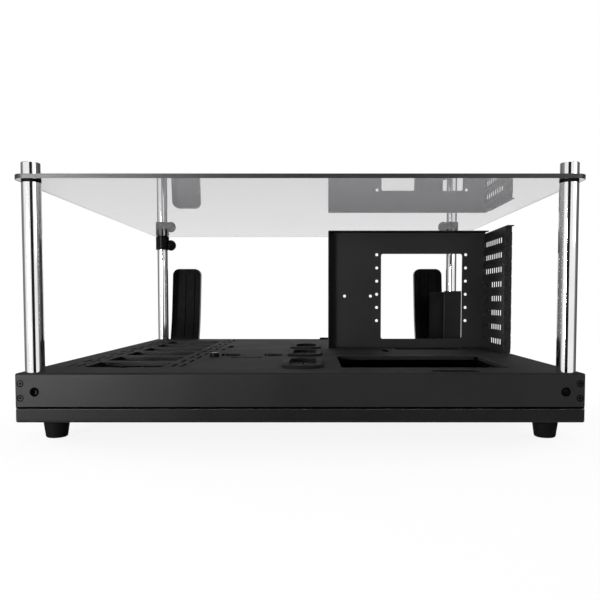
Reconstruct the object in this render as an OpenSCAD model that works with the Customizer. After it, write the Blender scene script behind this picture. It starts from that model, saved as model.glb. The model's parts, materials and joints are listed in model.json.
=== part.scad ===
// Open-frame computer case lying flat: a folded steel base on rubber feet, four chrome
// posts that carry a glass sheet, an expansion bracket, a power supply bracket and two
// stand legs on the far wall. X runs right, Y away from the front face, Z up. The origin
// is on the floor, below the middle of the whole depth, legs included.

/* [Base] */
// Width of the base, side to side
base_w = 570; // [560:5:700]
// Depth of the base, front face to far face
base_d = 566; // [560:2:700]
// Height of the folded top panel's walls
panel_h = 34.5; // [30:0.5:60]
// Height of the bottom cover's walls
cover_h = 14.5; // [12:0.5:30]
// Groove between the two shells
shell_gap = 1; // [0.5:0.1:2]
// Thickness of every folded sheet
sheet = 1.2; // [0.8:0.1:1.5]
// Outer radius of the folds along the top
fold_r = 2.5; // [2:0.1:4]
// Height of the rubber feet
foot_h = 20; // [10:1:40]
// Radius of a foot where it meets the cover
foot_r = 13.5; // [12:0.5:14]

/* [Posts and glass] */
// Length of a post, base to washer
post_h = 190; // [180:5:300]
// Radius of a post
post_r = 9.5; // [9:0.1:10]
// Distance of a post's axis from the sides of the base
post_inset_x = 15.2; // [14:0.1:18]
// Distance of a post's axis from the front and far faces
post_inset_y = 12.4; // [11.5:0.1:14]
// Thickness of the rubber washer under the glass
washer_h = 2.6; // [2:0.1:5]
// Thickness of the glass sheet
glass_t = 4.6; // [4:0.1:8]
// How far the glass stays inside the base on each side
glass_inset = 0; // [0:0.5:4]
// Height of the cap over the glass
cap_h = 12.8; // [8:0.2:20]

/* [Radiator openings] */
// Number of large openings behind each other
bay_count = 6; // [1:1:6]
// Length of one opening, front to back
bay_len = 56; // [40:1:60]
// Width of one opening
bay_w = 85; // [60:1:88]
// Number of slits in each of the four fan rows
slit_count = 10; // [3:1:10]

/* [Expansion bracket] */
// Number of expansion slots
slot_count = 8; // [2:1:8]
// Number of cells in a slot cover's grille
vent_count = 9; // [4:1:12]
// Height of the upright plate above the base
plate_h = 178; // [176:1:185]

/* [Power supply bracket] */
// Height of the bracket above the base
psu_h = 88.5; // [80:0.5:100]
// Length of the bracket, front to back
psu_len = 135; // [120:1:140]

/* [Stand legs] */
// How far the legs reach past the far face
leg_reach = 42; // [30:1:60]
// Height of the legs above the top of the base
leg_rise = 134; // [100:1:170]
// Width of a leg
leg_w = 53.5; // [40:0.5:60]

/* [Hidden] */
$fn = 48;

// Levels above the floor
cover_z = foot_h;
cover_top = cover_z + cover_h;
wall_z = cover_top + shell_gap;
top_z = wall_z + panel_h;
under_z = top_z - sheet;
washer_z = top_z + post_h;
glass_z = washer_z + washer_h;
cap_z = glass_z + glass_t;

// Plan places
total_d = base_d + leg_reach;
front_y = -total_d / 2;
far_y = front_y + base_d;
right_x = base_w / 2;
left_x = -right_x;
post_x = right_x - post_inset_x;
edge_r = 1.5;
clearance = 0.1;

// Corner blocks and their fasteners
block = 24;
block_relief = 1.5;
bolt_r = 3;
bolt_head_r = 5.4;
bolt_head_h = 5;
bolt_grip = 26;
screw_r = 1.5;
flush_r = 2.6;
side_screw_in = 5.2;
side_screw_z = [10.5, 25.2];
lock_in = 19.4;
lock_z = 18.9;
lock_hole_r = 4.25;
cover_screw_in_x = 7.5;
cover_screw_in_y = 20.5;

// Feet
foot_in_x = 29;
foot_in_y = 30;
foot_tip_r = 11;
foot_bore_r = 5;
foot_bore_h = 9;

// Posts
stem_r = 4;
stem_len = 12;
collar_r = 12;
collar_h = 24.4;
knob_r = 10;
knob_len = 13;
knob_drop = 17;

// Cut-outs of the top panel, from the front face and from one side
bay_x = left_x + 89.5;
bay_y = 57;
bay_pitch = bay_len + 19;
lip_h = 3.6;
slit_r = 2.2;
slit_len = 33;
slit_pitch = 48;
slit_y = 79;
fan_rows = [52.5, 62.25];
cable_x = right_x - 284;
cable_w = 39;
cable_r = 17;
cable_holes = [[45, 93], [189, 88], [314, 84]];
rim_w = 4;
rim_h = 3;
cut_x = right_x - 149.9;
cut_w = 183.2;
cut_y = 53;
cut_len = 141;
cut_r = 4;
board_x = right_x - 14.7;
board_y = 47.5;
board_cols = [0, 154.94, 227.33];
board_rows = [0, 157.48, 281.94];
board_hole_r = 1.6;

tie_x = [right_x - 390, right_x - 334];
tie_y = 199;
tie_w = 18;
nick = 2;
seal_h = 6;

// Expansion bracket
plate_y = 347.2;
plate_x0 = right_x - 249.8;
plate_x1 = right_x - 7.9;
plate_lip = 20;
plate_foot = 40;
side_flange = 32;
side_flange_top = 105;
window_x = right_x - 168.1;
window_w = 124.8;
window_z0 = 13.5;
window_z1 = 144.4;
slot_pitch = 20.32;
slot_z0 = top_z + 14.6;
slot_w = 18.4;
tab_y = 240.2;
panel_x = plate_x1 - sheet;
panel_top = top_z + 175;
cell_h = 7.5;
cell_y0 = 13.2;
cell_span = 91;
cell_bar = 2.8;
opening_h = 12.5;
riser_x = [right_x - 174.8, right_x - 37.7];
card_holes = [25.3, 65.4];
card_hole_z = 79.5;
riser_z0 = top_z + 41.6;
riser_count = 6;
riser_r = 2.25;

// Power supply bracket
psu_x = right_x - 27;
psu_depth = 28;
psu_y = far_y - 11 - psu_len;
psu_rim = 9;
psu_end = 15;

// Stand legs
leg_x = right_x - 51.5;
leg_t = 12;
leg_z0 = cover_z + 6;
leg_top = top_z + leg_rise;
leg_corner = 12;
pad_t = 2;
groove_w = 3;
groove_d = 2;

// Inner face of a leg: height above the base's top, distance from the wall
leg_profile = [
    [-12, 0], [-4, 1], [4, 3.2], [12, 6], [20, 8.8], [30, 11.9], [40, 14.3], [55, 17.2],
    [75, 20.6], [105, 25], [134, 29]
];
profile_rise = 134;
profile_reach = 29;

steel = [0.13, 0.13, 0.135];
chrome = [0.78, 0.79, 0.8];
rubber = [0.05, 0.05, 0.05];
plastic = [0.08, 0.08, 0.085];
screw_black = [0.1, 0.1, 0.1];

// A rectangle with round corners, its lower left corner at the origin
module round_rect(w, h, r) {
    translate([r, 0]) square([w - 2 * r, h]);
    translate([0, r]) square([w, h - 2 * r]);
    for (x = [r, w - r], y = [r, h - r]) translate([x, y]) circle(r = r);
}

// A rectangle from [0, 0] with only its two upper corners round
module arch_rect(w, h, r) {
    square([w, h - r]);
    translate([r, 0]) square([w - 2 * r, h]);
    for (x = [r, w - r]) translate([x, h - r]) circle(r = r);
}

// A slot with round ends, centred, running along Y
module slit(r, len) {
    translate([-r, -(len / 2 - r)]) square([2 * r, len - 2 * r]);
    for (s = [-1, 1]) translate([0, s * (len / 2 - r)]) circle(r = r);
}

// Slab between two corners
module slab(a, b) {
    translate(a) cube(b - a);
}

// Round bar along +Y from the given point
module bar_y(at, r, len) {
    translate(at) rotate([-90, 0, 0]) cylinder(r = r, h = len);
}

// Plan points that repeat at the four corners: side is -1 or 1, far is 0 or 1
function corner_x(side, in) = side * (right_x - in);
function corner_y(far, in) = far ? far_y - in : front_y + in;

// Solid block with the outline of a folded shell; its open side is down
module shell_block(w, d, h, corner, fold) {
    intersection() {
        linear_extrude(h) round_rect(w, d, corner);
        translate([0, d, 0]) rotate([90, 0, 0]) linear_extrude(d) arch_rect(w, h, fold);
        rotate([90, 0, 90]) linear_extrude(w) arch_rect(d, h, fold);
    }
}

// Folded shell, open below, with its outer corner at the origin
module folded_shell(w, d, h, fold) {
    difference() {
        shell_block(w, d, h, edge_r, fold);
        translate([sheet, sheet, -1])
            shell_block(w - 2 * sheet, d - 2 * sheet, h - sheet + 1, 0.4, fold - sheet);
    }
}

// Outlines cut out of the top panel, seen from above
module panel_cuts() {
    for (i = [0 : bay_count - 1])
        translate([bay_x - bay_w / 2, front_y + bay_y + i * bay_pitch]) round_rect(bay_w, bay_len, 3);
    translate([bay_x, front_y + bay_y]) circle(r = 7);
    for (row = fan_rows, side = [-1, 1], i = [0 : slit_count - 1])
        translate([bay_x + side * row, front_y + slit_y + i * slit_pitch]) slit(slit_r, slit_len);
    for (hole = cable_holes)
        translate([cable_x - cable_w / 2, front_y + hole[0]]) round_rect(cable_w, hole[1], cable_r);
    translate([cut_x - cut_w / 2, front_y + cut_y]) round_rect(cut_w, cut_len, cut_r);
    for (dx = board_cols, dy = board_rows)
        translate([board_x - dx, front_y + board_y + dy]) circle(r = board_hole_r);
    small_cuts();
    panel_screw_holes();
}

// Cable slots, tie points and the recess at the foot of the upright plate
module small_cuts() {
    translate([right_x - 168, front_y + 288]) slit(5, 45);
    translate([right_x - 150.2, front_y + 306]) round_rect(99.9, 36, 6);
    translate([right_x - 150, front_y + 13]) round_rect(51, 17, 5);
    translate([right_x - 403, front_y + 362]) slit(5, 44);
    translate([right_x - 406, front_y + 308]) slit(3, 26);
    translate([right_x - 378, front_y + 166]) round_rect(41, 14, 2);
    for (x = tie_x) translate([x, front_y + tie_y]) round_rect(tie_w, 18, 2);
}

// Screw holes that pass right through the top panel
module panel_screw_holes() {
    for (side = [-1, 1], far = [0, 1])
        translate([side * post_x, corner_y(far, post_inset_y)]) circle(r = bolt_r + clearance);
    for (p = bracket_screw_places()) translate(p) circle(r = screw_r + clearance);
}

// Plan places of the screws that hold the three brackets down
function bracket_screw_places() = [
    [plate_x0 + 43, front_y + plate_y + 9],
    [plate_x1 - 32, front_y + plate_y + 9],
    [plate_x1 + 3.9, front_y + tab_y + 22],
    [plate_x1 + 3.9, front_y + plate_y - 45],
    [psu_x - psu_depth / 2, psu_y + 25],
    [psu_x - psu_depth / 2, psu_y + psu_len - 25]
];

// Lips folded down along the edges of the openings
module panel_lips() {
    lip_z = under_z - lip_h;
    for (i = [0 : bay_count - 1], end = [0, 1]) {
        y = front_y + bay_y + i * bay_pitch + (end ? bay_len : -sheet);
        slab([bay_x - bay_w / 2 + 6, y, lip_z], [bay_x + bay_w / 2 - 6, y + sheet, under_z + 0.2]);
    }
    x0 = cut_x - cut_w / 2;
    x1 = cut_x + cut_w / 2;
    y0 = front_y + cut_y;
    y1 = y0 + cut_len;
    for (y = [y0 - sheet, y1])
        slab([x0 + cut_r, y, lip_z], [x1 - cut_r, y + sheet, under_z + 0.2]);
    for (x = [x0 - sheet, x1])
        slab([x, y0 + cut_r, lip_z], [x + sheet, y1 - cut_r, under_z + 0.2]);
}

// Strap pressed up out of the sheet, which takes a cable tie; it stands over its hole
module tie_bridge() {
    foot_w = 3;
    z = top_z - 0.2;
    slab([-foot_w, 2, z], [tie_w + foot_w, 8, z + 0.2]);
    for (x = [-foot_w, tie_w]) slab([x, 2, z], [x + foot_w, 8, top_z + 2.6]);
    slab([-foot_w, 2, top_z + 1.4], [tie_w + foot_w, 8, top_z + 2.6]);
}

// Slanted cuts across the four corners where the walls of a shell end; up is 1 where the
// walls stand above the cut and -1 where they hang below it
module corner_nicks(z, up) {
    size = 10;
    for (side = [-1, 1], far = [0, 1])
        translate([corner_x(side, 0), corner_y(far, 0), z])
            rotate([0, -up * asin(1 / sqrt(3)), atan2(far ? -1 : 1, -side)])
            translate([nick / sqrt(3) - size, -size / 2, -size / 2]) cube(size);
}

// Strips inside the cover's walls that close the groove between the shells
module groove_seal() {
    in = sheet + block + 1;
    for (side = [-1, 1]) {
        a = side * (right_x - sheet);
        for (part = [[-0.2, cover_top - seal_h, cover_top], [clearance, cover_top - 1, wall_z + seal_h]])
            slab([min(a - side * part[0], a - side * sheet), front_y + in, part[1]],
                [max(a - side * part[0], a - side * sheet), far_y - in, part[2]]);
    }
    for (far = [0, 1]) {
        out = far ? -1 : 1;
        a = corner_y(far, sheet);
        for (part = [[-0.2, cover_top - seal_h, cover_top], [clearance, cover_top - 1, wall_z + seal_h]])
            slab([left_x + in, min(a + out * part[0], a + out * sheet), part[1]],
                [right_x - in, max(a + out * part[0], a + out * sheet), part[2]]);
    }
}

module top_panel() {
    color(steel) difference() {
        union() {
            translate([left_x, front_y, wall_z]) folded_shell(base_w, base_d, panel_h, fold_r);
            panel_lips();
            for (x = tie_x) translate([x, front_y + tie_y, 0]) tie_bridge();
        }
        corner_nicks(wall_z, 1);
        translate([0, 0, under_z - 1]) linear_extrude(sheet + 2) panel_cuts();
        for (side = [-1, 1], far = [0, 1]) {
            y = corner_y(far, far ? sheet + 1 : -1);
            for (drop = side_screw_z)
                bar_y([corner_x(side, side_screw_in), y, top_z - drop], flush_r + clearance, sheet + 2);
            bar_y([corner_x(side, lock_in), y, top_z - lock_z], lock_hole_r, sheet + 2);
        }
        for (side = [-1, 1], p = leg_screw_places())
            bar_y([side * leg_x + p[0], far_y - sheet - 1, p[1]], screw_r + 0.5 + clearance, sheet + 2);
    }
}

module bottom_cover() {
    color(steel) difference() {
        union() {
            translate([left_x, far_y, cover_top]) rotate([180, 0, 0])
                folded_shell(base_w, base_d, cover_h, fold_r);
            groove_seal();
        }
        corner_nicks(cover_top, -1);
        for (side = [-1, 1], far = [0, 1]) {
            translate([corner_x(side, foot_in_x), corner_y(far, foot_in_y), cover_z - 1])
                cylinder(r = 2 + clearance, h = sheet + 2);
            translate([corner_x(side, cover_screw_in_x), corner_y(far, cover_screw_in_y), cover_z - 1])
                cylinder(r = flush_r + clearance, h = sheet + 2);
        }
    }
}

// Block that ties both shells and the foot of a post together, drawn from its outer
// corner towards the middle; its edges clear the bends of the shells
module corner_block(side, far) {
    h = under_z - cover_z - sheet;
    post_at = [post_inset_x - sheet, post_inset_y - sheet];
    color("dimgray")
        translate([corner_x(side, sheet), corner_y(far, sheet), cover_z + sheet])
        mirror([side > 0 ? 1 : 0, 0, 0]) mirror([0, far, 0]) difference() {
            union() {
                translate([0, 0, block_relief]) linear_extrude(h - 2 * block_relief) polygon([
                    [block_relief, 0], [block, 0], [block, block], [0, block], [0, block_relief]]);
                translate([block_relief, block_relief, 0])
                    cube([block - block_relief, block - block_relief, h]);
            }
            translate([post_at[0], post_at[1], -1]) {
                cylinder(r = bolt_r + clearance, h = h + 2);
                cylinder(r = bolt_head_r + clearance, h = bolt_head_h + 1);
            }
            translate([cover_screw_in_x - sheet, cover_screw_in_y - sheet, -1])
                cylinder(r = screw_r + clearance, h = 12);
            for (drop = side_screw_z)
                bar_y([side_screw_in - sheet, -1, h + sheet - drop], screw_r + clearance, 10);
            bar_y([lock_in - sheet, -1, h + sheet - lock_z], lock_hole_r - 0.15, 6);
        }
}

module foot(side, far) {
    color(rubber) translate([corner_x(side, foot_in_x), corner_y(far, foot_in_y), 0]) {
        rotate_extrude() polygon(concat(
            [[foot_bore_r, 0], [foot_tip_r - 2, 0]],
            [for (a = [15 : 15 : 90]) [foot_tip_r - 2 + 2 * sin(a), 2 - 2 * cos(a)]],
            [[foot_r, foot_h], [2 + clearance, foot_h], [2 + clearance, foot_bore_h],
                [foot_bore_r, foot_bore_h]]
        ));
    }
}

// Round-headed screw with its head below the origin and its shank rising
module pan_screw(r, head_r, head_h, len) {
    difference() {
        union() {
            translate([0, 0, -head_h]) cylinder(r = head_r, h = head_h);
            cylinder(r = r, h = len);
        }
        for (a = [0, 90]) rotate([0, 0, a])
            translate([-head_r * 0.55, -0.4, -head_h - 1]) cube([head_r * 1.1, 0.8, 1.6]);
    }
}

module foot_screws() {
    color(screw_black) for (side = [-1, 1], far = [0, 1])
        translate([corner_x(side, foot_in_x), corner_y(far, foot_in_y), foot_bore_h])
            pan_screw(2, 4, 3, foot_h - foot_bore_h + 5);
}

module cover_screws() {
    color(screw_black) for (side = [-1, 1], far = [0, 1])
        translate([corner_x(side, cover_screw_in_x), corner_y(far, cover_screw_in_y), cover_z + sheet])
            pan_screw(screw_r, flush_r, sheet, 10);
}

module corner_screws() {
    color(screw_black) for (side = [-1, 1], far = [0, 1], drop = side_screw_z)
        translate([corner_x(side, side_screw_in), corner_y(far, sheet), top_z - drop])
            rotate([far ? 90 : -90, 0, 0]) pan_screw(screw_r, flush_r, sheet, 8);
}

// Socket screws sunk in the blocks, which lock the post bolts
module post_lock_screws() {
    color(screw_black) for (side = [-1, 1], far = [0, 1])
        translate([corner_x(side, lock_in), corner_y(far, sheet + 1.2), top_z - lock_z])
            rotate([far ? 90 : -90, 0, 0]) difference() {
                cylinder(r = lock_hole_r - 0.25, h = 3.5);
                translate([0, 0, -1]) cylinder(r = 2.2, h = 3, $fn = 6);
            }
}

module post(side, far) {
    color(chrome) translate([side * post_x, corner_y(far, post_inset_y), top_z]) difference() {
        cylinder(r = post_r, h = post_h, $fn = 96);
        translate([0, 0, -1]) cylinder(r = bolt_r + clearance, h = bolt_grip + 2);
        translate([0, 0, post_h - stem_len - 1]) cylinder(r = stem_r + clearance, h = stem_len + 2);
    }
}

module post_bolts() {
    z = cover_z + sheet + bolt_head_h;
    color(screw_black) for (side = [-1, 1], far = [0, 1])
        translate([side * post_x, corner_y(far, post_inset_y), z]) {
            translate([0, 0, -bolt_head_h]) difference() {
                cylinder(r = bolt_head_r, h = bolt_head_h);
                translate([0, 0, -1]) cylinder(r = 2.8, h = 3.5, $fn = 6);
            }
            cylinder(r = bolt_r, h = top_z - z + bolt_grip);
        }
}

module washer(side, far) {
    color(rubber) translate([side * post_x, corner_y(far, post_inset_y), washer_z]) difference() {
        cylinder(r = post_r, h = washer_h);
        translate([0, 0, -1]) cylinder(r = stem_r + clearance, h = washer_h + 2);
    }
}

module glass_panel() {
    w = base_w - 2 * glass_inset;
    d = base_d - 2 * glass_inset;
    color([0.6, 0.6, 0.62, 0.5]) translate([0, 0, glass_z]) linear_extrude(glass_t) difference() {
        translate([-w / 2, front_y + glass_inset]) round_rect(w, d, 12);
        for (side = [-1, 1], far = [0, 1])
            translate([side * post_x, corner_y(far, post_inset_y)]) circle(r = stem_r + clearance);
    }
}

// Cap over the glass; its stem screws into the post
module cap(side, far) {
    color(chrome) translate([side * post_x, corner_y(far, post_inset_y), cap_z])
        rotate_extrude($fn = 96) polygon(concat(
            [[0, -glass_t - washer_h - stem_len], [stem_r, -glass_t - washer_h - stem_len],
                [stem_r, 0], [post_r, 0]],
            [for (a = [0 : 15 : 90]) [post_r - 1 + cos(a), cap_h - 1 + sin(a)]],
            [[0, cap_h]]
        ));
}

module collar(side) {
    z = glass_z - 1 - collar_h;
    color(plastic) translate([side * post_x, corner_y(1, post_inset_y), z]) difference() {
        cylinder(r = collar_r, h = collar_h);
        translate([0, 0, -1]) cylinder(r = post_r + clearance / 2, h = collar_h + 2);
        translate([0, 0, glass_z - knob_drop - z]) rotate([0, -90 * side, 0])
            cylinder(r = screw_r + 1 + clearance, h = collar_r + 1);
    }
}

// Domed thumbscrew on the side of a collar, its axis level and towards the middle
module collar_knob(side) {
    color(plastic) translate([side * post_x, corner_y(1, post_inset_y), glass_z - knob_drop])
        rotate([0, -90 * side, 0]) rotate_extrude() polygon(concat(
            [[0, post_r + clearance], [screw_r + 1, post_r + clearance],
                [screw_r + 1, collar_r], [knob_r - 1, collar_r]],
            [for (a = [0 : 10 : 90]) [knob_r * cos(a), collar_r + 3 + (knob_len - 3) * sin(a)]]
        ));
}

// Upright plate behind the cards, with its window and two rows of riser holes
module riser_plate() {
    z1 = top_z + plate_h;
    y = front_y + plate_y;
    flange_x = plate_x1 + clearance;
    flange_z = top_z + sheet + clearance;
    color(steel) difference() {
        union() {
            slab([plate_x0, y, top_z], [plate_x1, y + sheet, z1]);
            slab([plate_x0, y - plate_lip, z1 - sheet], [plate_x1, y + sheet, z1]);
            slab([plate_x0, y - plate_lip, top_z], [plate_x0 + sheet, y + sheet, z1]);
            for (x = [plate_x0 + 23, plate_x1 - 52])
                slab([x, y, top_z], [x + plate_foot, y + 18, top_z + sheet]);
            slab([flange_x - 1, y, flange_z], [flange_x + sheet, y + sheet, top_z + side_flange_top]);
            slab([flange_x, y - side_flange, flange_z],
                [flange_x + sheet, y + sheet, top_z + side_flange_top]);
        }
        translate([0, y - 1, 0]) rotate([90, 0, 0]) mirror([0, 0, 1]) linear_extrude(sheet + 2) {
            translate([window_x, top_z + window_z0])
                round_rect(window_w, window_z1 - window_z0, 3);
            for (x = riser_x, i = [0 : riser_count - 1])
                translate([x, riser_z0 + i * slot_pitch]) circle(r = riser_r);
            for (dx = card_holes) translate([plate_x0 + dx, top_z + card_hole_z]) circle(r = riser_r);
            for (i = [0 : slot_count - 1]) translate([panel_x - sheet - 0.2, slot_z0 + i * slot_pitch - 5.2])
                square([sheet + 0.4, 10.4]);
        }
        for (i = [0, 1]) translate([bracket_screw_places()[i][0], bracket_screw_places()[i][1], top_z - 1])
            cylinder(r = screw_r + clearance, h = sheet + 2);
    }
}

// Side panel with one window for each slot and a flange for the tabs
module slot_panel() {
    y0 = front_y + tab_y + sheet;
    y1 = front_y + plate_y;
    lip_x = right_x;
    color(steel) difference() {
        union() {
            slab([panel_x, y0, top_z], [plate_x1, y1, panel_top]);
            slab([panel_x, y0, top_z], [lip_x, y0 + sheet, panel_top]);
            slab([panel_x, y0, top_z], [lip_x, y1, top_z + sheet]);
            slab([panel_x, y0 - 9, panel_top - sheet], [lip_x, y1, panel_top]);
        }
        for (i = [0 : slot_count - 1]) {
            z = slot_z0 + i * slot_pitch;
            slab([panel_x - 1, y0 + 11, z - opening_h / 2], [plate_x1 + 1, y1 - 3, z + opening_h / 2]);
            bar_y([plate_x1 + 4, y0 - 1, z], screw_r + clearance, sheet + 2);
        }
        for (i = [2, 3]) translate([bracket_screw_places()[i][0], bracket_screw_places()[i][1], top_z - 1])
            cylinder(r = screw_r + clearance, h = sheet + 2);
    }
}

// Cover strip of one slot: grille, screw tab in front and tongue at the far end
module slot_cover(i) {
    x0 = panel_x - sheet;
    z = slot_z0 + i * slot_pitch;
    y0 = front_y + tab_y;
    y1 = front_y + plate_y;
    pitch = (cell_span + cell_bar) / vent_count;
    color(steel) difference() {
        union() {
            slab([x0, y0, z - slot_w / 2], [panel_x, y1 - 0.2, z + slot_w / 2]);
            slab([x0, y0, z - slot_w / 2], [right_x, y0 + sheet, z + slot_w / 2]);
            slab([x0, y1 - 1, z - 5], [panel_x, y1 + 7, z + 5]);
        }
        for (c = [0 : vent_count - 1])
            slab([x0 - 1, y0 + cell_y0 + c * pitch, z - cell_h / 2],
                [panel_x + 1, y0 + cell_y0 + (c + 1) * pitch - cell_bar, z + cell_h / 2]);
        bar_y([plate_x1 + 4, y0 - 1, z], screw_r + clearance, sheet + 2);
    }
}

module slot_screws() {
    color(screw_black) for (i = [0 : slot_count - 1])
        translate([plate_x1 + 4, front_y + tab_y, slot_z0 + i * slot_pitch])
            rotate([-90, 0, 0]) pan_screw(screw_r, 3.4, 2.2, 6);
}

module bracket_screws() {
    color(screw_black) for (p = bracket_screw_places())
        translate([p[0], p[1], top_z + sheet]) mirror([0, 0, 1]) pan_screw(screw_r, 3, 1.8, 5);
}

// Folded frame that the power supply is screwed to
module psu_bracket() {
    z1 = top_z + psu_h;
    y1 = psu_y + psu_len;
    x0 = psu_x - psu_depth;
    color(steel) difference() {
        union() {
            slab([psu_x - sheet, psu_y, top_z], [psu_x, y1, z1]);
            for (y = [psu_y, y1 - sheet]) slab([x0, y, top_z], [psu_x, y + sheet, z1]);
            slab([x0, psu_y, top_z], [psu_x, y1, top_z + sheet]);
            slab([psu_x - 9, psu_y, z1 - sheet], [psu_x, y1, z1]);
        }
        translate([psu_x - sheet - 1, psu_y + psu_end, top_z + psu_rim + 1])
            rotate([90, 0, 90]) linear_extrude(sheet + 2)
                round_rect(psu_len - 2 * psu_end, psu_h - 2 * psu_rim - 1, 4);
        for (i = [4, 5]) translate([bracket_screw_places()[i][0], bracket_screw_places()[i][1], top_z - 1])
            cylinder(r = screw_r + clearance, h = sheet + 2);
    }
}

// Rubber grommet with a thick round rim and a sunk, slit membrane in a cable hole
module grommet(i) {
    y = front_y + cable_holes[i][0];
    len = cable_holes[i][1];
    skin = 1.4;
    color(rubber) translate([cable_x - cable_w / 2, y, 0]) difference() {
        union() {
            translate([-rim_w, -rim_w, top_z]) grommet_ring(cable_w + 2 * rim_w, len + 2 * rim_w);
            translate([0, 0, under_z]) linear_extrude(sheet + 0.2) round_rect(cable_w, len, cable_r);
            translate([-2, -2, under_z - 1.5])
                linear_extrude(1.5) round_rect(cable_w + 4, len + 4, cable_r + 2);
        }
        for (z = [under_z - 3, under_z - 1.5 + skin]) translate([rim_w, rim_w, z])
            linear_extrude(z < under_z - 2 ? 1.5 : 8)
                round_rect(cable_w - 2 * rim_w, len - 2 * rim_w, cable_r - rim_w);
        translate([cable_w / 2 - 0.6, 10, under_z - 2]) cube([1.2, len - 20, 6]);
        for (f = [0.3, 0.5, 0.7]) translate([8, len * f - 0.6, under_z - 2])
            cube([cable_w - 16, 1.2, 6]);
    }
}

// Rim of a grommet, stepped in towards its top
module grommet_ring(w, len) {
    step = [[0, 1.6], [0.5, 2.3], [1.2, 2.8], [2, rim_h]];
    r = cable_r + rim_w;
    for (s = step) translate([s[0], s[0], 0])
        linear_extrude(s[1]) round_rect(w - 2 * s[0], len - 2 * s[0], r - s[0]);
}

// Side outline of a leg between two distances from its inner face
module leg_outline(in, out) {
    points = concat([[0, leg_z0]], [for (p = leg_profile)
        [p[1] * (leg_reach - leg_t) / profile_reach, top_z + p[0] * leg_rise / profile_rise]]);
    n = len(points);
    polygon(concat(
        [for (p = points) [p[0] + in, p[1]]],
        [for (i = [n - 1 : -1 : 0]) [points[i][0] + out, points[i][1]]]
    ));
}

// Strip of a leg, w wide around x, between two distances from its inner face
module leg_strip(x, w, in, out) {
    translate([x - w / 2, 0, 0]) rotate([90, 0, 90]) linear_extrude(w) leg_outline(in, out);
}

// Places of a leg's screws, from its middle and above the floor
function leg_screw_places() = [[-14, leg_z0 + 22], [14, leg_z0 + 22]];

// Curved leg with three grooves in its inner face and a recess for its pad
module stand_leg(side) {
    color(plastic) translate([side * leg_x, far_y, 0]) difference() {
        intersection() {
            leg_strip(0, leg_w, 0, leg_t);
            translate([-leg_w / 2, leg_reach + 1, 0]) rotate([90, 0, 0])
                linear_extrude(leg_reach + 2) arch_rect(leg_w, leg_top, leg_corner);
        }
        for (x = [-17, 0, 17]) intersection() {
            leg_strip(x, groove_w, -1, groove_d);
            slab([x - groove_w, -2, top_z + 4], [x + groove_w, leg_reach, leg_top - 10]);
        }
        for (p = leg_screw_places()) {
            bar_y([p[0], -1, p[1]], screw_r + 0.5 + clearance, leg_t + 2);
            bar_y([p[0], leg_t - 3, p[1]], 4 + clearance, 4);
        }
        intersection() {
            leg_strip(0, leg_w - 16, leg_t - pad_t, leg_t + 1);
            pad_zone(0);
        }
    }
}

// Heights that a leg's pad takes up, less a gap
module pad_zone(gap) {
    slab([-leg_w, 0, leg_top - 66 + gap], [leg_w, leg_reach + 2, leg_top - 12 - gap]);
}

module stand_pad(side) {
    color(rubber) translate([side * leg_x, far_y, 0]) intersection() {
        leg_strip(0, leg_w - 16 - 2 * clearance, leg_t - pad_t + clearance, leg_t);
        pad_zone(clearance);
    }
}

module stand_screws() {
    color(screw_black) for (side = [-1, 1], p = leg_screw_places())
        translate([side * leg_x + p[0], far_y + leg_t - 3, p[1]])
            rotate([90, 0, 0]) pan_screw(screw_r + 0.5, 4, 2.5, leg_t + 3);
}

// Low clip on the far edge of the base
module edge_clip() {
    color(plastic) translate([right_x - 243, far_y - 7, top_z]) rotate([0, 0, 90])
        linear_extrude(3) slit(4, 36);
}

// Small domed plug on the base, beside the tie points
module cable_knob() {
    color(plastic) translate([right_x - 400, front_y + 184, top_z]) rotate_extrude() polygon(concat(
        [[0, 0], [6, 0]],
        [for (a = [0 : 15 : 90]) [4.5 + 1.5 * cos(a), 4 + 1.5 * sin(a)]],
        [[0, 5.5]]
    ));
}

top_panel();
bottom_cover();
corner_block(-1, 0);  // corner_block_front_left
corner_block(1, 0);  // corner_block_front_right
corner_block(-1, 1);  // corner_block_back_left
corner_block(1, 1);  // corner_block_back_right
foot(-1, 0);  // foot_front_left
foot(1, 0);  // foot_front_right
foot(-1, 1);  // foot_back_left
foot(1, 1);  // foot_back_right
foot_screws();
cover_screws();
corner_screws();
post_lock_screws();
post(-1, 0);  // post_front_left
post(1, 0);  // post_front_right
post(-1, 1);  // post_back_left
post(1, 1);  // post_back_right
post_bolts();
washer(-1, 0);  // washer_front_left
washer(1, 0);  // washer_front_right
washer(-1, 1);  // washer_back_left
washer(1, 1);  // washer_back_right
glass_panel();
cap(-1, 0);  // cap_front_left
cap(1, 0);  // cap_front_right
cap(-1, 1);  // cap_back_left
cap(1, 1);  // cap_back_right
collar(-1);  // collar_left
collar(1);  // collar_right
collar_knob(-1);  // collar_knob_left
collar_knob(1);  // collar_knob_right
riser_plate();
slot_panel();
slot_cover(0);  // slot_cover_1
slot_cover(1);  // slot_cover_2
slot_cover(2);  // slot_cover_3
slot_cover(3);  // slot_cover_4
slot_cover(4);  // slot_cover_5
slot_cover(5);  // slot_cover_6
slot_cover(6);  // slot_cover_7
slot_cover(7);  // slot_cover_8
slot_screws();
bracket_screws();
psu_bracket();
grommet(0);  // grommet_front
grommet(1);  // grommet_middle
grommet(2);  // grommet_back
stand_leg(-1);  // stand_leg_left
stand_leg(1);  // stand_leg_right
stand_pad(-1);  // stand_pad_left
stand_pad(1);  // stand_pad_right
stand_screws();
edge_clip();
cable_knob();
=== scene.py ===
"""Looks of the open-frame computer case: finishes, fine pieces, studio and camera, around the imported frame."""

import json
import math

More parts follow.
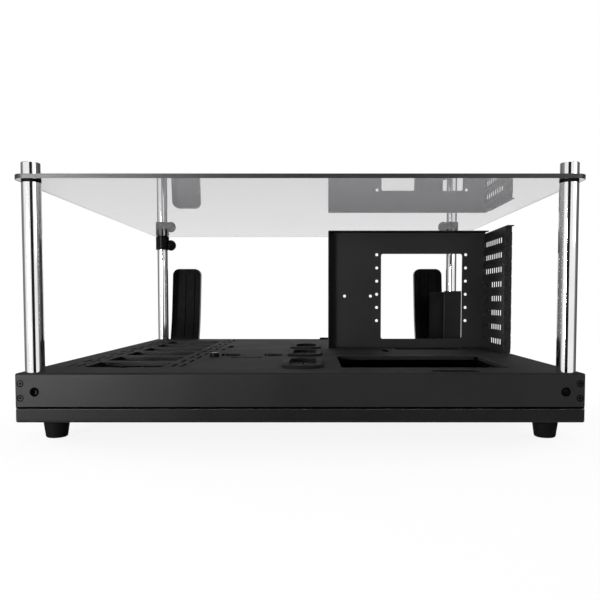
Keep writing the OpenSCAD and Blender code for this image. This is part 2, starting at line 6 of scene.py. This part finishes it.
import bpy
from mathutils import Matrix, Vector


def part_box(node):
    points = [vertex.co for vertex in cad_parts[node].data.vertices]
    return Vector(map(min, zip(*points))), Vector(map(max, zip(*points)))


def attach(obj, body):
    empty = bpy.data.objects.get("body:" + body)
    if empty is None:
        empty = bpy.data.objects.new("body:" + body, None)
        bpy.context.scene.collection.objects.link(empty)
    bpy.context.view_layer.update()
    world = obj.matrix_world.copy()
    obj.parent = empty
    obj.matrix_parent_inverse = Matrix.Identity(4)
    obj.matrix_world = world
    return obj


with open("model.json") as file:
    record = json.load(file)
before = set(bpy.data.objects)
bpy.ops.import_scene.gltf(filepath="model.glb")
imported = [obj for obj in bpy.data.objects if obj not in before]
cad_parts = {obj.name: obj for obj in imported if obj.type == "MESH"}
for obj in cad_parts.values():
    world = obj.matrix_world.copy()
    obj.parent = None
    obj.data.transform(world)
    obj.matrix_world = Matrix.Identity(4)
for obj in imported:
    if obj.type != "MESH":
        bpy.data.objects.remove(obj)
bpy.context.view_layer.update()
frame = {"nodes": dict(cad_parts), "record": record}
nodes = frame["nodes"]

MM = 0.001
BODY = "root"

# Camera, solved from the photograph: place in metres, tilt down in radians, optical centre in pixels
CAMERA_AT = (0.0146, -0.92494, 0.14196)
CAMERA_TILT = 0.0467
FOCAL_PIXELS = 625.2
IMAGE_PIXELS = 600
OPTICAL_CENTRE = (314.8, 330.2)
SENSOR_MM = 36.0

# Lamps: name, place, aim, width and height in metres, watts, and whether mirrors see them
LAMPS = (
    ("key", (-0.78, -1.3, 0.2), (-0.2, -0.3, 0.08), (0.35, 0.35), 20, True),
    ("fill", (1.3, -1.1, 0.7), (0.2, 0, 0.1), (0.8, 0.8), 4, True),
    ("top", (0, 0.1, 1.9), (0, 0, 0.1), (1.6, 1.2), 8, True),
    ("left", (-1.7, 0.4, 0.6), (0, 0, 0.05), (0.9, 0.9), 30, False),
    ("right", (1.7, 0.4, 0.6), (0, 0, 0.05), (0.9, 0.9), 30, False),
    ("back", (0, 1.9, 0.6), (0, 0, 0.05), (0.9, 0.9), 30, False),
)
SKY_STRENGTH = 0.2

# What mirrors see around the studio: angle from the camera's side, to the right positive, and grey
# level. Steeply up or down they see the ceiling's level, blended in between two heights of a unit view.
WALL_LEVELS = (
    (-180, 1.0), (-158, 1.0), (-150, 0.1), (-125, 0.17), (-95, 0.24), (-82, 0.32), (-70, 1.0),
    (66, 1.0), (78, 0.22), (97, 0.13), (115, 0.08), (150, 0.08), (158, 1.0), (180, 1.0),
)
CEILING_LEVEL = 0.5
CEILING_BLEND = (0.55, 0.85)

# Floor, and how much of it the camera sees as plain white: nearest and farthest distance, and the
# white's share at each, which leaves the object's shadow on the near part
FLOOR_HALF = 9.0
FLOOR_WHITE_AT = (0.5, 2.0)
FLOOR_WHITE_SHARE = (0.88, 1.0)

# Dark card behind the camera: left, right, low and high edge, and place along Y
FLAG = (-0.215, 0.245, -1.6, 2.2, -1.0)

# Painted shadow over the groove between the shells, a dark strip where shade falls: reach below and above
# the top panel's lower edge, distance of its ends from the corners, and how far it stands out
SEAM_BELOW = 1.5 * MM
SEAM_ABOVE = 0.7 * MM
SEAM_END = 1.8 * MM
PROUD = 0.04 * MM

# Screws in the front and back walls: head radius, and inner and outer radii of the dark rings of painted shade
# in their clearance and sockets
CORNER_HEAD_R = 2.6 * MM
CORNER_RINGS = ((0.02 * MM, 1.3 * MM), (2.3 * MM, 3.4 * MM))
LOCK_HEAD_R = 4.0 * MM
LOCK_RINGS = ((2.6 * MM, 4.7 * MM),)
RING_STEPS = 40


# Shader building

class Tree:
    """A node tree with short helpers."""

    def __init__(self, tree):
        self.tree = tree

    def node(self, kind, **values):
        """Adds a shader node; each value goes to the input of that name, or to the node's setting."""
        made = self.tree.nodes.new("ShaderNode" + kind)
        for key, value in values.items():
            if key in made.inputs:
                made.inputs[key].default_value = value
            else:
                setattr(made, key, value)
        return made

    def link(self, a, b):
        self.tree.links.new(a, b)

    def math(self, operation, *terms):
        """Output of a math node on sockets and numbers."""
        made = self.node("Math", operation=operation)
        for socket, term in zip(made.inputs, terms):
            if isinstance(term, (int, float)):
                socket.default_value = term
            else:
                self.link(term, socket)
        return made.outputs[0]

    def spread(self, value, start, end):
        """Maps value from the range start to the range end."""
        made = self.node("MapRange")
        for socket, limit in zip(made.inputs[1:5], (*start, *end)):
            socket.default_value = limit
        self.link(value, made.inputs["Value"])
        return made.outputs["Result"]

    def mix_colour(self, share, first, level):
        """The colour first, turned into a grey level by share."""
        made = self.node("Mix", data_type="RGBA")
        self.link(share, made.inputs[0])
        self.link(first, made.inputs[6])
        made.inputs[7].default_value = (level, level, level, 1)
        return made.outputs[2]

    def mix_shader(self, share, first, second):
        made = self.node("MixShader")
        self.link(share, made.inputs["Fac"])
        self.link(first.outputs[0], made.inputs[1])
        self.link(second.outputs[0], made.inputs[2])
        return made

    def upward(self):
        """How level a face lies: 1 flat, 0 upright."""
        split = self.node("SeparateXYZ")
        self.link(self.node("NewGeometry").outputs["True Normal"], split.inputs["Vector"])
        return self.math("ABSOLUTE", split.outputs["Z"])


class Shader(Tree):
    """A material with one Principled shader."""

    def __init__(self, name):
        self.material = bpy.data.materials.new(name)
        self.material.use_nodes = True
        super().__init__(self.material.node_tree)
        self.bsdf = self.tree.nodes["Principled BSDF"]
        self.out = self.tree.nodes["Material Output"]

    def set(self, **values):
        for key, value in values.items():
            self.bsdf.inputs[key.replace("_", " ")].default_value = value

    def feed(self, socket, value):
        self.link(value, self.bsdf.inputs[socket])

    def noise(self, scale, detail=3.0, stretch=(1, 1, 1)):
        """Noise over the object's coordinates, which are first stretched by the given factors."""
        mapping = self.node("Mapping", Scale=stretch)
        self.link(self.node("TexCoord").outputs["Object"], mapping.inputs["Vector"])
        made = self.node("TexNoise", Scale=scale, Detail=detail)
        self.link(mapping.outputs["Vector"], made.inputs["Vector"])
        return made.outputs["Fac"]

    def ramp(self, value, low, high):
        """Runs value through a ramp between two grey levels."""
        made = self.node("ValToRGB")
        for stop, level, place in zip(made.color_ramp.elements, (low, high), (0.35, 0.65)):
            stop.position = place
            stop.color = (level, level, level, 1)
        self.link(value, made.inputs["Fac"])
        return made.outputs["Color"]

    def edge(self, radius):
        """Softens the shading at sharp edges; gives the softened normal."""
        made = self.node("Bevel", Radius=radius)
        made.samples = 4
        self.feed("Normal", made.outputs["Normal"])
        return made.outputs["Normal"]

    def bump(self, height, strength, distance):
        """Adds a bump over the normal that the shader has so far."""
        made = self.node("Bump", Strength=strength, Distance=distance)
        self.link(height, made.inputs["Height"])
        if self.bsdf.inputs["Normal"].is_linked:
            self.link(self.bsdf.inputs["Normal"].links[0].from_socket, made.inputs["Normal"])
        self.feed("Normal", made.outputs["Normal"])

    def lit_edges(self, radius, colour, level):
        """Base colour with a painted highlight on the edges: lighter where the softened normal turns away from
        the face.
        """
        turned = self.node("VectorMath", operation="DOT_PRODUCT")
        self.link(self.edge(radius), turned.inputs[0])
        self.link(self.node("NewGeometry").outputs["True Normal"], turned.inputs[1])
        share = self.spread(turned.outputs["Value"], (0.985, 0.8), (0.0, 1.0))
        self.feed("Base Color", self.mix_colour(share, colour, level))


# Finishes

def powder_coat(name, base, roughness, sheen, dull=0.1, edge_highlight=0.012, edge=0.5):
    """Fine coat on steel: faint mottle in colour and gloss, orange-peel bump, painted highlights on the edges.

    Level faces are duller than upright ones: sheen is the specular level of upright faces and dull
    that of level ones. The colour given for the edges is a painted highlight, over edge millimetres.
    """
    s = Shader(name)
    s.lit_edges(edge * MM, s.ramp(s.noise(9, 4), *base), edge_highlight)
    level = s.upward()
    s.feed("Specular IOR Level", s.spread(level, (0.0, 1.0), (sheen, dull)))
    gloss = s.spread(level, (0.0, 1.0), (roughness, 0.7))
    s.feed("Roughness", s.math("ADD", gloss, s.ramp(s.noise(14, 3), 0.0, 0.08)))
    s.bump(s.noise(1400, 2), 0.25, 0.05 * MM)
    s.bump(s.noise(260, 2), 0.12, 0.1 * MM)
    return s.material


def chrome(name):
    """Polished chrome with a trace of drawing lines along the bar."""
    s = Shader(name)
    s.set(Metallic=1.0)
    s.feed("Base Color", s.ramp(s.noise(30, 2), 0.8, 0.86))
    s.feed("Roughness", s.ramp(s.noise(60, 3, (6, 6, 0.4)), 0.045, 0.085))
    s.bump(s.noise(500, 2, (4, 4, 0.1)), 0.02, 0.01 * MM)
    return s.material


def rubber(name, level):
    """Matt rubber with a fine mottle."""
    s = Shader(name)
    s.set(Specular_IOR_Level=0.06)
    s.feed("Base Color", s.ramp(s.noise(40, 4), level * 0.8, level * 1.25))
    s.feed("Roughness", s.ramp(s.noise(120, 3), 0.58, 0.75))
    s.edge(0.6 * MM)
    s.bump(s.noise(900, 3), 0.3, 0.06 * MM)
    return s.material


def moulded_plastic(name, level):
    """Satin moulding with a fine spark-eroded grain."""
    s = Shader(name)
    s.set(Specular_IOR_Level=0.05)
    s.feed("Base Color", s.ramp(s.noise(25, 3), level * 0.85, level * 1.2))
    s.feed("Roughness", s.ramp(s.noise(80, 3), 0.2, 0.28))
    s.edge(0.6 * MM)
    s.bump(s.noise(1800, 2), 0.22, 0.04 * MM)
    return s.material


def black_oxide(name):
    """Blackened screw steel."""
    s = Shader(name)
    s.set(Metallic=0.3, Specular_IOR_Level=0.2)
    s.feed("Base Color", s.ramp(s.noise(200, 3), 0.006, 0.018))
    s.feed("Roughness", s.ramp(s.noise(400, 3), 0.3, 0.45))
    s.edge(0.2 * MM)
    return s.material


def shadow_gap(name):
    """Matt black for gaps that light doesn't reach."""
    s = Shader(name)
    s.set(Specular_IOR_Level=0.0, Roughness=1.0)
    s.feed("Base Color", s.ramp(s.noise(60, 2), 0.0005, 0.0015))
    return s.material


def tinted_glass(name, tint):
    """Clear sheet with a grey tint and dark, glossy cut edges; light passes to what lies below."""
    s = Shader(name)
    s.set(Base_Color=(*tint, 1), Transmission_Weight=1.0, IOR=1.5)
    s.feed("Roughness", s.ramp(s.noise(3, 2), 0.0, 0.012))
    path = s.node("LightPath")
    passing = s.math("MAXIMUM", path.outputs["Is Shadow Ray"], path.outputs["Is Diffuse Ray"])
    through = s.node("BsdfTransparent", Color=(*tint, 1))
    sheet = s.mix_shader(passing, s.bsdf, through)

    cut = s.node("BsdfPrincipled", Roughness=0.38)
    s.link(s.ramp(s.noise(20, 2), 0.008, 0.016), cut.inputs["Base Color"])
    both = s.mix_shader(s.math("LESS_THAN", s.upward(), 0.5), sheet, cut)
    s.link(both.outputs[0], s.out.inputs["Surface"])
    return s.material


FINISHES = {
    # Painted steel's edges get a lighter colour, a painted highlight.
    "painted_steel": powder_coat("powder_coat_black", (0.01, 0.0135), 0.36, 0.11, edge_highlight=0.06),
    "block_steel": powder_coat("block_steel", (0.01, 0.0135), 0.4, 0.11),
    "foot_rubber": rubber("rubber_black", 0.003),
    "black_screws": black_oxide("screw_black"),
    "post_chrome": chrome("post_chrome"),
    "glass": tinted_glass("glass_grey", (0.475, 0.475, 0.488)),
    "black_plastic": moulded_plastic("plastic_black", 0.004),
}

# Nodes whose finish is set darker or lighter than the rest of their slot
OWN_FINISHES = {
    # The cover's edges get a bright painted highlight, a light colour over 1.6 mm.
    "bottom_cover": powder_coat("powder_coat_cover", (0.0065, 0.009), 0.36, 0.08, edge_highlight=0.4, edge=1.6),
    "riser_plate": powder_coat("powder_coat_plate", (0.014, 0.018), 0.4, 0.17, dull=0.11),
    **dict.fromkeys(("grommet_front", "grommet_middle", "grommet_back"), rubber("rubber_grommet", 0.008)),
}


def finish_cad_nodes():
    """Gives each CAD node the finish of its slot in the record."""
    slot_of = {part["node"]: part["material_slot"] for part in frame["record"]["subparts"]}
    for name, thing in nodes.items():
        thing.data.materials.clear()
        thing.data.materials.append(OWN_FINISHES.get(name) or FINISHES[slot_of[name]])


# Meshes

def add_mesh(name, points, faces, material):
    mesh = bpy.data.meshes.new(name)
    mesh.from_pydata(points, [], faces)
    mesh.materials.append(material)
    made = bpy.data.objects.new(name, mesh)
    bpy.context.scene.collection.objects.link(made)
    return made


def fine_piece(name, points, faces, material):
    """A small piece that the CAD leaves out, riding on the case."""
    piece = add_mesh(name, points, faces, material)
    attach(piece, BODY)


def seam_shadow_strips(finish):
    """Painted shadow: a dark strip over the groove between the shells, on all four sides, where shade falls."""
    low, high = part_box("top_panel")
    bottom, top = low.z - SEAM_BELOW, low.z + SEAM_ABOVE
    points, faces = [], []
    for a, b in (
        ((low.x + SEAM_END, low.y - PROUD), (high.x - SEAM_END, low.y - PROUD)),
        ((high.x + PROUD, low.y + SEAM_END), (high.x + PROUD, high.y - SEAM_END)),
        ((high.x - SEAM_END, high.y + PROUD), (low.x + SEAM_END, high.y + PROUD)),
        ((low.x - PROUD, high.y - SEAM_END), (low.x - PROUD, low.y + SEAM_END)),
    ):
        first = len(points)
        points += [(*a, bottom), (*b, bottom), (*b, top), (*a, top)]
        faces.append(tuple(range(first, first + 4)))
    fine_piece("seam_painted_shadow", points, faces, finish)


def ring_mesh(x, y, z, inner, outer):
    """Points and faces of a flat ring that faces along Y."""
    turns = [2 * math.pi * i / RING_STEPS for i in range(RING_STEPS)]
    points = [(x + r * math.cos(t), y, z + r * math.sin(t)) for r in (inner, outer) for t in turns]
    faces = []
    for i in range(RING_STEPS):
        after = (i + 1) % RING_STEPS
        faces.append((i, after, RING_STEPS + after, RING_STEPS + i))
    return points, faces


def screw_painted_shade(finish):
    """Painted shade: dark rings around the screws in the front and back walls, where shade falls in their
    clearance, and dark discs in the sockets of their heads.
    """
    low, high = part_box("bottom_cover")
    corner_low, corner_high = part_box("corner_screws")
    lock_low, lock_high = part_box("post_lock_screws")
    corner_x = corner_high.x - CORNER_HEAD_R
    places = (
        (corner_x, corner_high.z - CORNER_HEAD_R, CORNER_RINGS),
        (corner_x, corner_low.z + CORNER_HEAD_R, CORNER_RINGS),
        (lock_high.x - LOCK_HEAD_R, (lock_low.z + lock_high.z) / 2, LOCK_RINGS),
    )
    points, faces = [], []
    for y in (low.y - PROUD, high.y + PROUD):
        for side in (-1, 1):
            for x, z, rings in places:
                for inner, outer in rings:
                    made, around = ring_mesh(side * x, y, z, inner, outer)
                    first = len(points)
                    points += made
                    faces += [tuple(first + i for i in face) for face in around]
    fine_piece("screw_painted_shade", points, faces, finish)


# Studio

def world_light():
    """Even soft light; mirrors see a white studio with a grey wall on each side; the camera sees white."""
    world = bpy.data.worlds.new("studio")
    bpy.context.scene.world = world
    world.use_nodes = True
    world.node_tree.nodes.clear()
    w = Tree(world.node_tree)

    split = w.node("SeparateXYZ")
    w.link(w.node("TexCoord").outputs["Generated"], split.inputs["Vector"])
    turn = w.math("ARCTAN2", split.outputs["X"], w.math("MULTIPLY", split.outputs["Y"], -1))
    walls = w.node("ValToRGB")
    stops = walls.color_ramp.elements
    for stop, (degrees, level) in zip(stops, (WALL_LEVELS[0], WALL_LEVELS[-1])):
        stop.position = degrees / 360 + 0.5
        stop.color = (level, level, level, 1)
    for degrees, level in WALL_LEVELS[1:-1]:
        stops.new(degrees / 360 + 0.5).color = (level, level, level, 1)
    w.link(w.math("ADD", w.math("DIVIDE", turn, 2 * math.pi), 0.5), walls.inputs["Fac"])
    steep = w.spread(w.math("ABSOLUTE", split.outputs["Z"]), CEILING_BLEND, (0.0, 1.0))

    mirror = w.node("Background", Strength=1.0)
    w.link(w.mix_colour(steep, walls.outputs["Color"], CEILING_LEVEL), mirror.inputs["Color"])
    soft = w.node("Background", Color=(1, 1, 1, 1), Strength=SKY_STRENGTH)
    white = w.node("Background", Color=(1, 1, 1, 1), Strength=1.0)
    path = w.node("LightPath")
    seen = w.math("MAXIMUM", path.outputs["Is Camera Ray"], path.outputs["Is Transmission Ray"])
    lit = w.mix_shader(seen, w.mix_shader(path.outputs["Is Glossy Ray"], soft, mirror), white)
    w.link(lit.outputs[0], w.node("OutputWorld").inputs["Surface"])


def area_light(name, at, towards, size, watts, mirrored):
    data = bpy.data.lights.new(name, "AREA")
    data.shape = "RECTANGLE"
    data.size, data.size_y = size
    data.energy = watts
    lamp = bpy.data.objects.new(name, data)
    bpy.context.scene.collection.objects.link(lamp)
    lamp.location = at
    lamp.rotation_euler = (Vector(towards) - Vector(at)).to_track_quat("-Z", "Y").to_euler()
    if not mirrored:
        lamp.visible_glossy = False
        lamp.visible_camera = False
        lamp.visible_transmission = False


def make_floor():
    """Pale floor that the camera sees as near white, with the object's shadow on it; mirrors look past it."""
    s = Shader("floor_white")
    s.set(Base_Color=(0.9, 0.9, 0.9, 1), Roughness=1.0, Specular_IOR_Level=0.0)
    path = s.node("LightPath")
    seen = s.math("MAXIMUM", path.outputs["Is Camera Ray"], path.outputs["Is Transmission Ray"])
    distance = s.node("VectorMath", operation="LENGTH")
    s.link(s.node("TexCoord").outputs["Object"], distance.inputs[0])
    share = s.math("MULTIPLY", seen, s.spread(distance.outputs["Value"], FLOOR_WHITE_AT, FLOOR_WHITE_SHARE))
    glow = s.node("Emission", Color=(1, 1, 1, 1), Strength=1.0)
    s.link(s.mix_shader(share, s.bsdf, glow).outputs[0], s.out.inputs["Surface"])

    corners = [(x * FLOOR_HALF, y * FLOOR_HALF, 0) for x, y in ((-1, -1), (1, -1), (1, 1), (-1, 1))]
    floor = add_mesh("floor", corners, [(0, 1, 2, 3)], s.material)
    floor.visible_glossy = False


def make_flag():
    """Dark card just behind the camera, which the chrome posts mirror as a narrow line."""
    s = Shader("flag_black")
    s.set(Base_Color=(0.01, 0.01, 0.01, 1), Roughness=1.0, Specular_IOR_Level=0.0)
    left, right, low, high, y = FLAG
    corners = [(left, y, low), (right, y, low), (right, y, high), (left, y, high)]
    flag = add_mesh("flag", corners, [(0, 1, 2, 3)], s.material)
    flag.visible_camera = False
    flag.visible_diffuse = False
    flag.visible_shadow = False
    flag.visible_transmission = False


def make_camera():
    """The photograph's camera; the shift puts the optical centre where the photograph has it."""
    data = bpy.data.cameras.new("camera")
    data.sensor_width = SENSOR_MM
    data.lens = FOCAL_PIXELS / IMAGE_PIXELS * SENSOR_MM
    data.shift_x = (IMAGE_PIXELS / 2 - OPTICAL_CENTRE[0]) / IMAGE_PIXELS
    data.shift_y = (OPTICAL_CENTRE[1] - IMAGE_PIXELS / 2) / IMAGE_PIXELS
    data.dof.use_dof = False
    camera = bpy.data.objects.new("camera", data)
    bpy.context.scene.collection.objects.link(camera)
    camera.location = CAMERA_AT
    camera.rotation_euler = (math.pi / 2 - CAMERA_TILT, 0, 0)
    bpy.context.scene.camera = camera


finish_cad_nodes()
# Matt black for the painted shade over the seam and around the screws.
painted_shade_black = shadow_gap("painted_shade_black")
seam_shadow_strips(painted_shade_black)
screw_painted_shade(painted_shade_black)
world_light()
make_floor()
make_flag()
for lamp in LAMPS:
    area_light(*lamp)
make_camera()
bpy.context.scene.view_settings.view_transform = "Standard"
